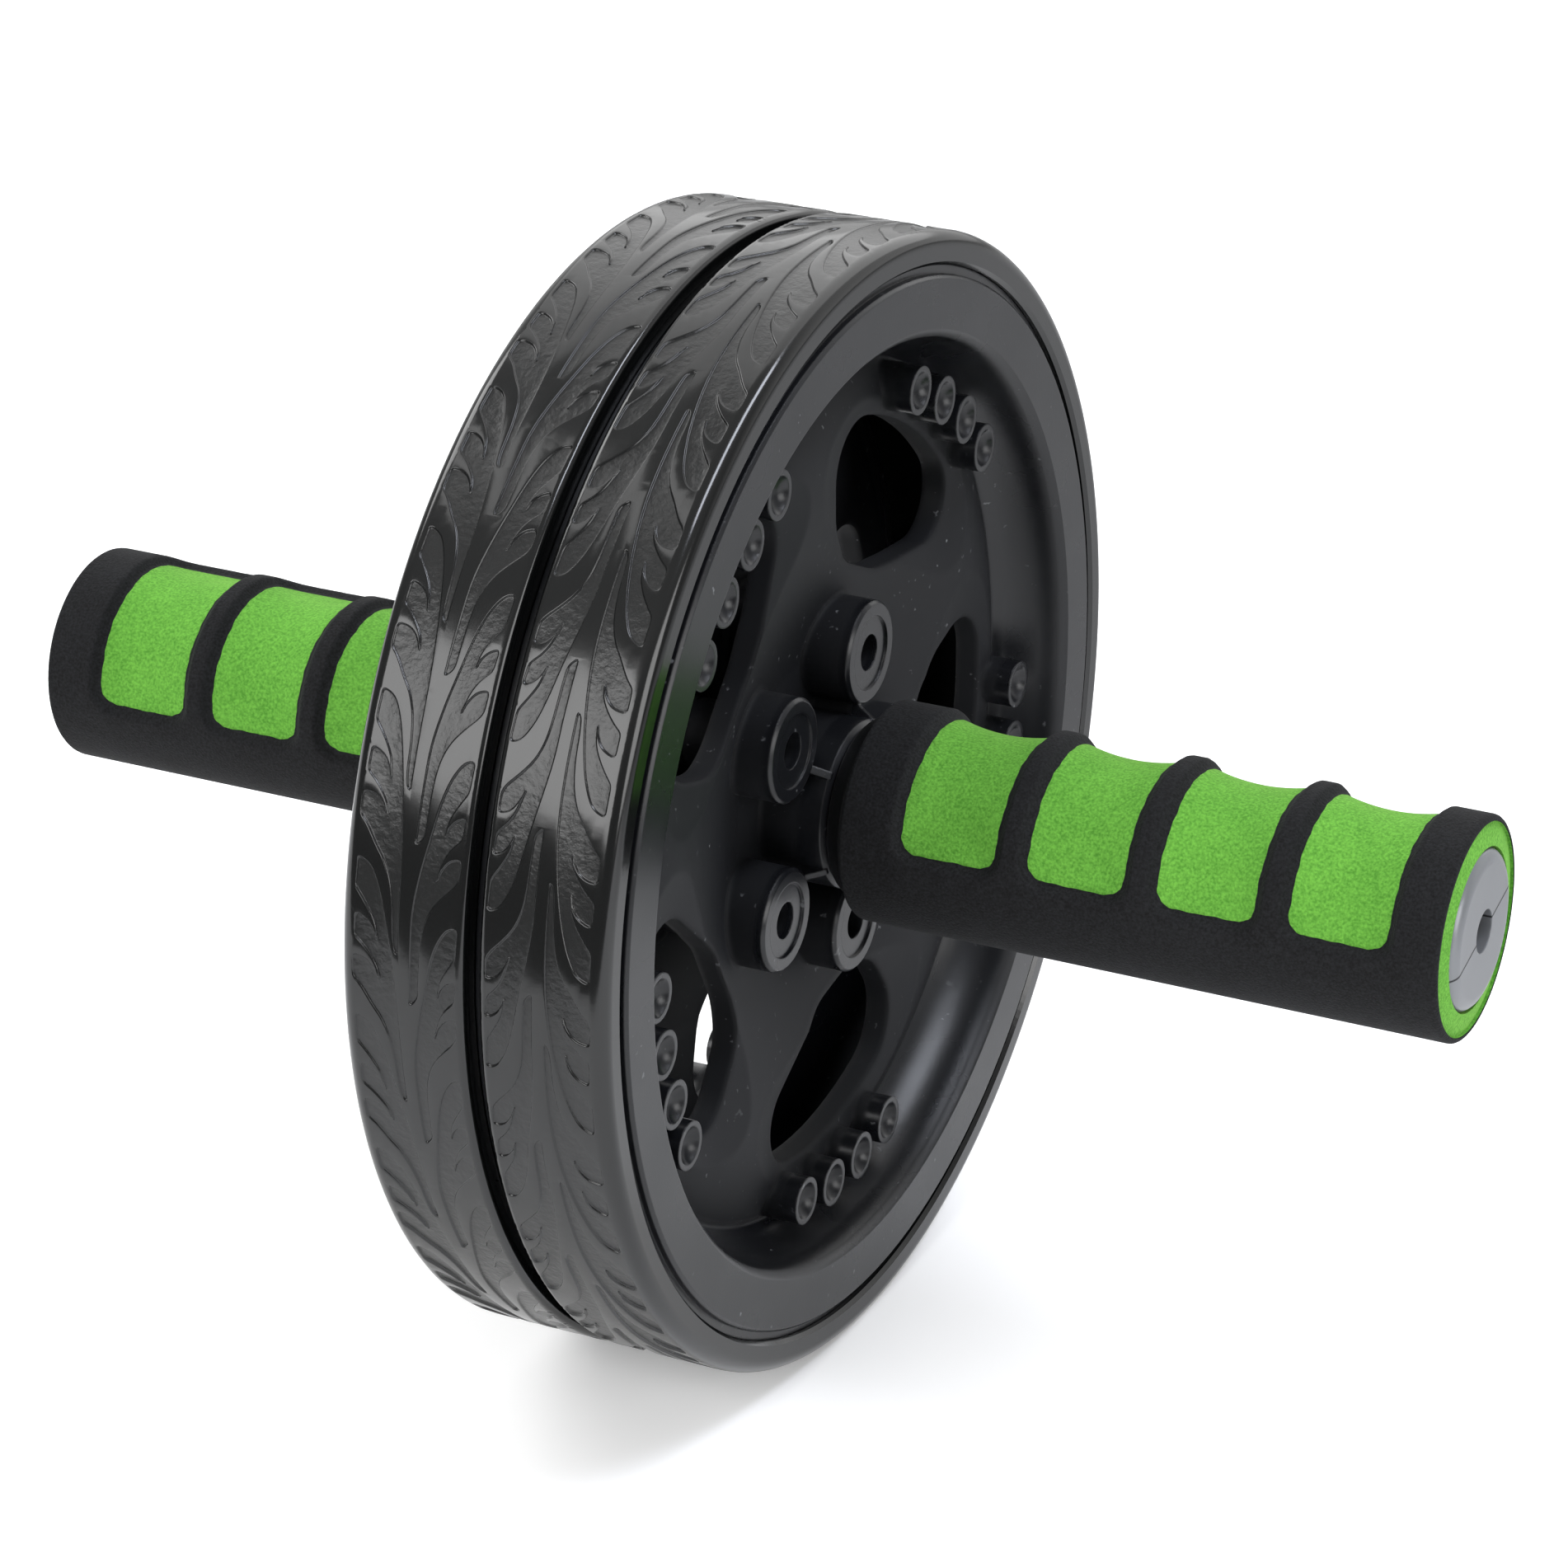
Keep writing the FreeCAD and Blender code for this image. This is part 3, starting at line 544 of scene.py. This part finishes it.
outerWing = (
    ((0, 12.25), (0.9, 12.95)),
    ((0.9, 12.95), (3.4, 13.25), (7.4, 13.45), (11.4, 14.1), (14.5, 15.3), (16.5, 16.7), (19.4, 18.6),
     (20.7, 19.9)),
    ((20.7, 19.9), (24.4, 19.95)),
    ((24.4, 19.95), (24, 17.7), (22.6, 16.2), (20.4, 15.3)),
    ((20.4, 15.3), (22.7, 15.7), (24.8, 17), (26.5, 18.6), (27.3, 19.7)),
    ((27.3, 19.7), (31.1, 19.6)),
    ((31.1, 19.6), (30.2, 17.5), (28.6, 16.3), (26.4, 15.7)),
    ((26.4, 15.7), (29.6, 16.2), (32.1, 17.5), (34.1, 19), (35, 19.8)),
    ((35, 19.8), (39.8, 19.7)),
    ((39.8, 19.7), (38.7, 17.5), (35.7, 15.9), (31.6, 14.7), (27, 13.75), (21.9, 13), (16.4, 12.5),
     (9.9, 12.3), (0, 12.25)),
)


def treadMesh():
    shape = {
        "radius": tyre["radius"], "firstAngle": math.radians(tyre["innerTip"]),
        "low": tyre["inner"] + tyre["innerRound"], "lowRound": tyre["innerRound"],
        "high": tyre["outer"] - tyre["outerRound"], "highRound": tyre["outerRound"],
    }
    low, high = patchLimits(shape)
    pitch = 2 * math.pi * tyre["radius"] / tyre["repeats"]
    lag = math.radians(tyre["outerTip"] - tyre["innerTip"]) * tyre["radius"]
    wings = [closedOutline(innerWing, tyre["spacing"]), closedOutline(outerWing, tyre["spacing"]) + (lag, 0)]
    # Wings that start in the two patches before reach into this one
    loops = [wing + (pitch * turn, 0) for wing in wings for turn in (-2, -1, 0)]
    wallLines = [offsetOutline(loop, gap) for loop in loops for gap in (-tyre["wall"], 0, tyre["wall"])]
    columns = np.linspace(0, pitch, tyre["columns"] + 1)
    rows = np.concatenate([np.linspace(low, shape["low"], tyre["innerRows"])[:-1],
                           np.linspace(shape["low"], shape["high"], tyre["treadRows"])[:-1],
                           np.linspace(shape["high"], high, tyre["outerRows"])])

    def isClear(points):
        return abs(signedDistance(points, loops)) > tyre["clearWalls"] * tyre["wall"]

    def depthAt(points):
        wrapped = np.stack([points[:, 0] % pitch, points[:, 1]], 1)
        sunk = np.clip(0.5 - signedDistance(wrapped, loops) / (2 * tyre["wall"]), 0, 1)
        return tyre["depth"] * (1 - np.cos(math.pi * sunk)) / 2

    corners, faces = flatPatch(columns, rows, wallLines, isClear)
    corners, faces, relief = rollUp(corners, faces, columns, tyre["repeats"], depthAt)
    rings = [(tyre["outer"], tyre["seat"] + tyre["lip"]), (tyre["outer"] - tyre["lip"], tyre["seat"]),
             (tyre["inner"], tyre["seat"])]
    mesh = wrappedMesh("tread", shape, corners, faces, relief, rings=rings)
    sunk = np.zeros(len(mesh.vertices))
    sunk[:len(relief)] = relief[:, 0] / tyre["depth"]
    mesh.attributes.new("recess", "FLOAT", "POINT").data.foreach_set("value", sunk)
    return mesh


rightTread = treadMesh()
leftTread = rightTread.copy()
spin = Matrix.Rotation(math.radians(tyre["leftTurn"] / 2), 4, "X")
leftTread.transform(spin @ Matrix.Rotation(math.pi, 4, "Y") @ spin.inverted())
addPiece("right_tread_band", rightTread, "wheel", "right_tyre", "tyre_rubber")
addPiece("left_tread_band", leftTread, "wheel", "left_tyre", "tyre_rubber")
print("tyres made", len(rightTread.polygons))


# Grips: black foam skin, ground away in scallops down to the green foam

skinLow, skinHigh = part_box("right_grip_skin")
foamLow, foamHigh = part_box("right_grip_foam")
grip = {
    "radius": skinHigh.z / mm, "start": skinLow.x / mm, "skinEnd": skinHigh.x / mm,
    "foamEnd": foamHigh.x / mm, "bore": 13.05, "skin": 1.0, "under": 1.05, "edgeDepth": 1.5, "deep": 2.5,
    "shoulder": 1.8, "shoulderLines": (0, 1 / 3, 2 / 3, 1), "corner": 3.0, "skinRound": 0.9, "foamRound": 0.4,
    "spacing": 1.3, "edgeRows": 5, "tuck": 0.6, "tuckDepth": 0.15, "hem": 0.1,
    "ragged": 0.1, "raggedSpacing": 0.7, "cornerStep": 15, "waves": (9, 23, 41),  # waves round each groove
    "firstAngle": -90.0, "rightStretch": 1.0,  # the right sleeve is pulled a little over its core's end
    "count": 4, "innerBand": 10.3, "outerBand": 7.85, "ridge": 5.55,
    "rightAngles": (32.0, 175.0), "leftAngles": (-4.0, 122.0),  # the left sleeve before it is turned round
}
grooveRun = grip["foamEnd"] - grip["start"] - grip["innerBand"] - grip["outerBand"]
grooveWidth = (grooveRun - grip["ridge"] * (grip["count"] - 1)) / grip["count"]


def grooveBoxes(firstBand, angles):
    step = grooveWidth + grip["ridge"]
    starts = [grip["start"] + firstBand + step * number for number in range(grip["count"])]
    low, high = (math.radians(angle - grip["firstAngle"]) * grip["radius"] for angle in angles)
    return [(np.array([(low + high) / 2, start + grooveWidth / 2]),
             np.array([(high - low) / 2, grooveWidth / 2])) for start in starts]


def roundedBoxDistance(points, box):
    centre, half = box
    reach = abs(points - centre) - (half - grip["corner"])
    return (np.linalg.norm(np.maximum(reach, 0), axis=1) + np.minimum(reach.max(1), 0)) - grip["corner"]


def grooveDistance(points, boxes):
    return np.min([roundedBoxDistance(points, box) for box in boxes], axis=0)


def grooveDepth(distance):
    half = grooveWidth / 2
    bowl = grip["deep"] - (grip["deep"] - grip["edgeDepth"]) * (np.clip(half + distance, 0, half) / half) ** 2
    share = np.clip(distance / grip["shoulder"], 0, 1)
    return np.where(distance < 0, bowl, grip["edgeDepth"] * (1 - share * share * (3 - 2 * share)))


def raggedOutline(box):
    centre, half = box
    corner = grip["corner"]
    points = []
    for across, along, first in ((1, -1, -90), (1, 1, 0), (-1, 1, 90), (-1, -1, 180)):
        middle = centre + (half - corner) * (across, along)
        for angle in np.radians(np.arange(first, first + 91, grip["cornerStep"])):
            points.append(middle + corner * np.array([math.cos(angle), math.sin(angle)]))
    sides = zip(points, points[1:] + points[:1])
    loop = np.vstack([smoothRun(side, grip["raggedSpacing"]) for side in sides])
    turn = np.linspace(0, 2 * math.pi, len(loop), endpoint=False)
    slow, brisk, quick = grip["waves"]
    wander = np.sin(slow * turn + centre[1]) + np.sin(brisk * turn + 1) + np.sin(quick * turn + 2 + centre[1])
    return loop + (offsetOutline(loop, 1) - loop) * (wander * grip["ragged"] / 2)[:, None]


def gripPieces(side, boxes, stretch):
    loops = [raggedOutline(box) for box in boxes]
    shoulderLines = [offsetOutline(loop, grip["shoulder"] * share)
                     for loop in loops for share in grip["shoulderLines"]]
    around = 2 * math.pi * grip["radius"]
    columns = np.linspace(0, around, round(around / grip["spacing"]) + 1)
    nearby = grip["spacing"] / 2

    def isClear(points):
        distance = grooveDistance(points, boxes)
        return (distance < -nearby) | (distance > grip["shoulder"] + nearby)

    def skinDepth(points):
        return grooveDepth(grooveDistance(points, boxes))

    def foamDepth(points):
        distance = grooveDistance(points, boxes)
        tuck = grip["tuckDepth"] * np.clip(distance / grip["tuck"], 0, 1)
        return np.maximum(grooveDepth(distance) + tuck, grip["under"])

    made = []
    for name, depthAt in (("skin", skinDepth), ("foam", foamDepth)):
        end, rounding = grip[name + "End"] + stretch, grip[name + "Round"]
        shape = {
            "radius": grip["radius"], "firstAngle": math.radians(grip["firstAngle"]),
            "low": grip["start"] + rounding, "lowRound": rounding,
            "high": end - rounding, "highRound": rounding,
        }
        low, high = patchLimits(shape)
        count = round((end - grip["start"]) / grip["spacing"])
        rows = np.concatenate([np.linspace(low, shape["low"], grip["edgeRows"])[:-1],
                               np.linspace(shape["low"], shape["high"], count),
                               np.linspace(shape["high"], high, grip["edgeRows"])[1:]])
        corners, faces = flatPatch(columns, rows, shoulderLines, isClear)
        if name == "skin":
            centres = corners[faces].mean(1)
            faces = faces[signedDistance(centres, loops) > 0]
        corners, faces, relief = rollUp(corners, faces, columns, 1, depthAt)
        thickness = np.maximum(grip["skin"], relief[:, :1] + grip["hem"])
        closing = {"innerRadius": grip["radius"] - thickness}
        if name == "foam":
            closing = {"rings": [(end, grip["bore"]), (grip["start"], grip["bore"])]}
        made.append(wrappedMesh(side + "_grip_" + name, shape, corners, faces, relief, **closing))
    return made


rightBoxes = grooveBoxes(grip["innerBand"], grip["rightAngles"])
leftBoxes = grooveBoxes(grip["outerBand"], grip["leftAngles"])
rightSkin, rightFoam = gripPieces("right", rightBoxes, grip["rightStretch"])
leftSkin, leftFoam = gripPieces("left", leftBoxes, 0)
for mesh in (leftSkin, leftFoam):
    mesh.transform(Matrix.Rotation(math.pi, 4, "Z"))
for side, skinMesh, foamMesh in (("right", rightSkin, rightFoam), ("left", leftSkin, leftFoam)):
    skinPiece = addPiece(side + "_skin_layer", skinMesh, "handlebar", side + "_grip_skin", "foam_black")
    foamPiece = addPiece(side + "_foam_sleeve", foamMesh, "handlebar", side + "_grip_foam", "foam_green")
print("grips made", len(rightSkin.polygons), len(rightFoam.polygons))


# Studio: white table with a white sweep behind it and a dark room in front, softboxes round it

studio = {
    "width": 12.0, "front": -0.36, "back": 6.0,
    "floor": pureWhite, "floorGlow": 0.15, "floorRoughness": 0.9,
    # shade is a painted shadow, seen only in reflections, on the floor behind the wheel from shadeStart to
    # shadeEnd along frontward
    "shade": "#b6b6b6", "shadeStart": -0.05, "shadeEnd": -0.25, "frontward": (-0.22, -0.975, 0.0),
    "frontRoom": 0.25, "ceiling": 0.5, "sweep": 0.9,  # brightness
    "ceilingRise": (0.2, 0.75), "sweepRise": (0.3, 0.7),  # how far up or back each brightens
}
floorCorners = [(side * studio["width"] / 2, studio[end], cadBox[0].z)
                for end, side in (("front", -1), ("front", 1), ("back", 1), ("back", -1))]
floorMesh = bpy.data.meshes.new("floor")
floorMesh.from_pydata(floorCorners, [], [(0, 1, 2, 3)])
floor = bpy.data.objects.new("floor", floorMesh)
bpy.context.scene.collection.objects.link(floor)

# Matt white paint: no gloss and white in the picture; in reflections only, a painted shadow greys the floor
# behind the wheel, standing in for the front softbox's shadow
floorMaterial, floorTree, floorShader, floorPlace = startMaterial("matt white studio floor")
floorRays = addNode(floorTree, "LightPath").outputs
glow = addNode(floorTree, "Math", {1: studio["floorGlow"]}, {0: floorRays["Is Camera Ray"]},
               operation="MULTIPLY")
ahead = addNode(floorTree, "VectorMath", {1: studio["frontward"]}, {0: floorPlace},
                operation="DOT_PRODUCT")
# Painted shadow: how far behind the wheel the floor is greyed for reflections
paintedShadow = addNode(floorTree, "MapRange", {"From Min": studio["shadeStart"], "From Max": studio["shadeEnd"]},
                 {"Value": ahead.outputs["Value"]})
mirrored = addNode(floorTree, "Math", None, {0: paintedShadow.outputs["Result"], 1: floorRays["Is Glossy Ray"]},
                   operation="MULTIPLY")
floorTint = addNode(floorTree, "Mix", {6: colour(studio["floor"]), 7: colour(studio["shade"])},
                    {"Factor": mirrored.outputs[0]}, data_type="RGBA")
finishMaterial(floorTree, floorShader,
               {"Base Color": floorTint.outputs[2], "Emission Strength": glow.outputs[0]},
               {"Emission Color": colour(studio["floor"]), "Roughness": studio["floorRoughness"],
                "Specular IOR Level": 0.0})
floorMesh.materials.append(floorMaterial)

world = bpy.data.worlds.new("studio")
bpy.context.scene.world = world
world.use_nodes = True
worldTree = world.node_tree
worldTree.nodes.clear()
direction = addNode(worldTree, "TexCoord").outputs["Generated"]
heading = addNode(worldTree, "SeparateXYZ", None, {0: direction}).outputs
surroundings = []
for wall, axis in (("ceiling", "Z"), ("sweep", "Y")):
    start, end = studio[wall + "Rise"]
    brightness = addNode(worldTree, "MapRange", {"From Min": start, "From Max": end,
                                                 "To Min": studio["frontRoom"], "To Max": studio[wall]},
                         {"Value": heading[axis]})
    surroundings.append(brightness.outputs["Result"])
room = addNode(worldTree, "Math", None, {0: surroundings[0], 1: surroundings[1]}, operation="MAXIMUM")
cameraRay = addNode(worldTree, "LightPath").outputs["Is Camera Ray"]
dim = addNode(worldTree, "Background", {"Color": colour(pureWhite)}, {"Strength": room.outputs[0]})
white = addNode(worldTree, "Background", {"Color": colour(pureWhite), "Strength": 1.0})
seen = addNode(worldTree, "MixShader", None, {0: cameraRay, 1: dim.outputs[0], 2: white.outputs[0]})
addNode(worldTree, "OutputWorld", None, {"Surface": seen.outputs[0]})

softboxes = {
    "front": {"direction": (-0.20, -0.88, 0.43), "distance": 1.6, "size": (1.35, 0.8), "power": 17.5},
    "back": {"direction": (-0.13, 0.73, 0.67), "distance": 1.8, "size": (2.0, 2.0), "power": 13.0},
    "strip": {"direction": (-0.43, -0.22, 0.87), "distance": 1.6, "size": (0.6, 0.2), "power": 0.8},
    "side": {"direction": (0.93, -0.25, 0.27), "distance": 1.7, "size": (0.8, 0.8), "power": 9.0},
    "right": {"direction": (0.46, 0.06, 0.88), "distance": 1.7, "size": (1.1, 0.32), "power": 15.0,
              "tint": "#eef3ff"},  # a little cool; the others are white
    "left": {"direction": (-0.75, 0.10, 0.65), "distance": 1.7, "size": (0.8, 0.8), "power": 9.0},
}
for name, box in softboxes.items():
    light = bpy.data.lights.new(name + " softbox", "AREA")
    light.shape = "RECTANGLE"
    light.size, light.size_y = box["size"]
    light.energy = box["power"]
    light.color = colour(box.get("tint", pureWhite))[:3]
    lamp = bpy.data.objects.new(name + " softbox", light)
    bpy.context.scene.collection.objects.link(lamp)
    aim = Vector(box["direction"]).normalized()
    lamp.location = aim * box["distance"]
    lamp.rotation_euler = aim.to_track_quat("Z", "Y").to_euler()

photoView = {
    "place": (0.361767, -0.724232, 0.366901), "target": (0.006205, 0.0, 0.000878),
    "lens": 126.65, "sensor": 36.0,
}
camera = bpy.data.cameras.new("photo view")
camera.lens = photoView["lens"]
camera.sensor_width = photoView["sensor"]
cameraObject = bpy.data.objects.new("photo view", camera)
bpy.context.scene.collection.objects.link(cameraObject)
cameraObject.location = photoView["place"]
sight = Vector(photoView["target"]) - Vector(photoView["place"])
cameraObject.rotation_euler = sight.to_track_quat("-Z", "Y").to_euler()
bpy.context.scene.camera = cameraObject
bpy.context.scene.view_settings.view_transform = "Standard"
print("studio made")
